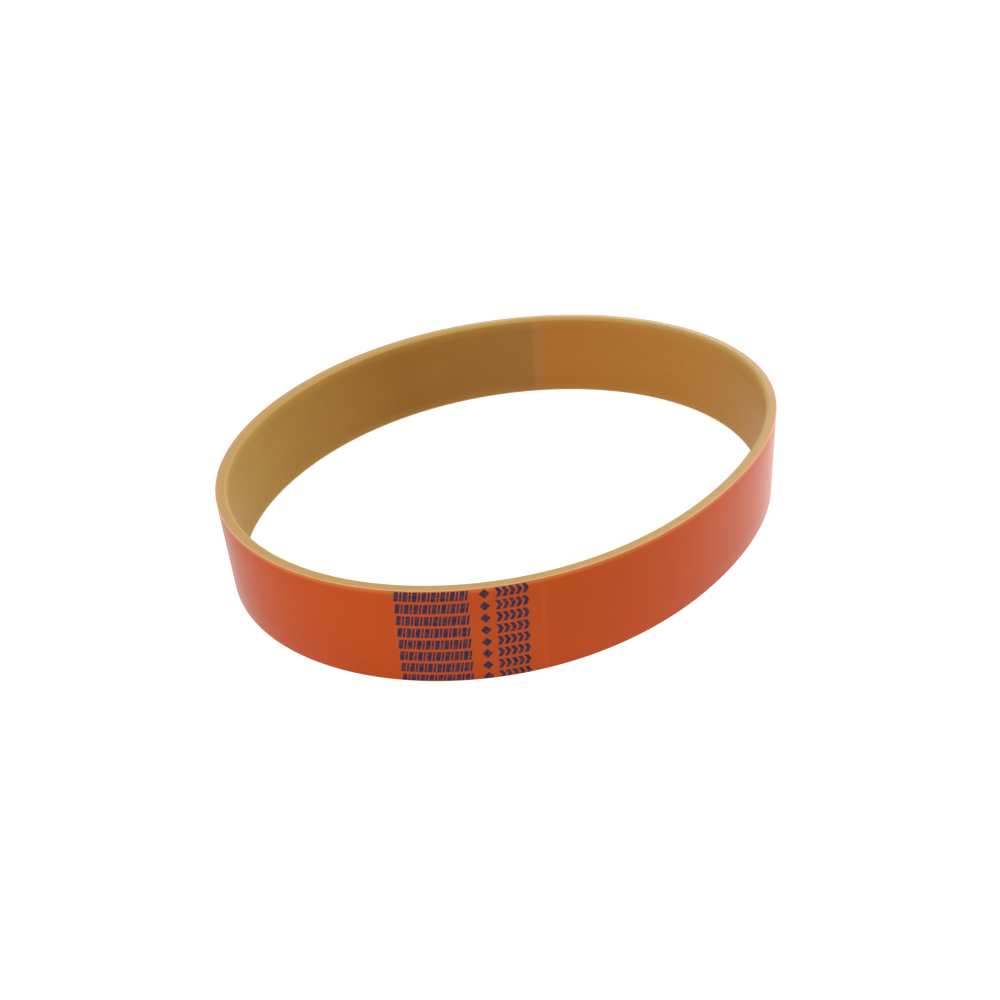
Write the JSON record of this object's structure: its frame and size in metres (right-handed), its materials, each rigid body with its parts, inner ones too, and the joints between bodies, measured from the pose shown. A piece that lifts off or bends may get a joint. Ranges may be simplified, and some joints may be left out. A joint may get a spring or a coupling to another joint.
{
  "type": "endless flat drive belt",
  "caption": "Endless flat drive belt with an orange back, an ochre drive face with rounded edges and a wound tension cord, standing on edge as a loose oval loop.",
  "frame": {"origin": "middle of the loop, in the plane of the edge that it stands on", "axes": "+Z along the belt's width, away from the surface it stands on; +X along the loop's long axis"},
  "size_m": [0.1946, 0.1634, 0.03],
  "materials": {
    "back_cover": "satin calendered elastomer cover, orange",
    "gum_ply": "cut elastomer edge, pale amber",
    "drive_cover": "matt elastomer drive face, ochre",
    "tension_cord": "twisted polyester cord, cream"
  },
  "bodies": {
    "root": {"back_cover": "back_cover", "back_gum_ply": "gum_ply", "cushion_gum_ply": "gum_ply", "drive_cover": "drive_cover", "tension_cord_s": "tension_cord", "tension_cord_z": "tension_cord"}
  },
  "joints": []
}
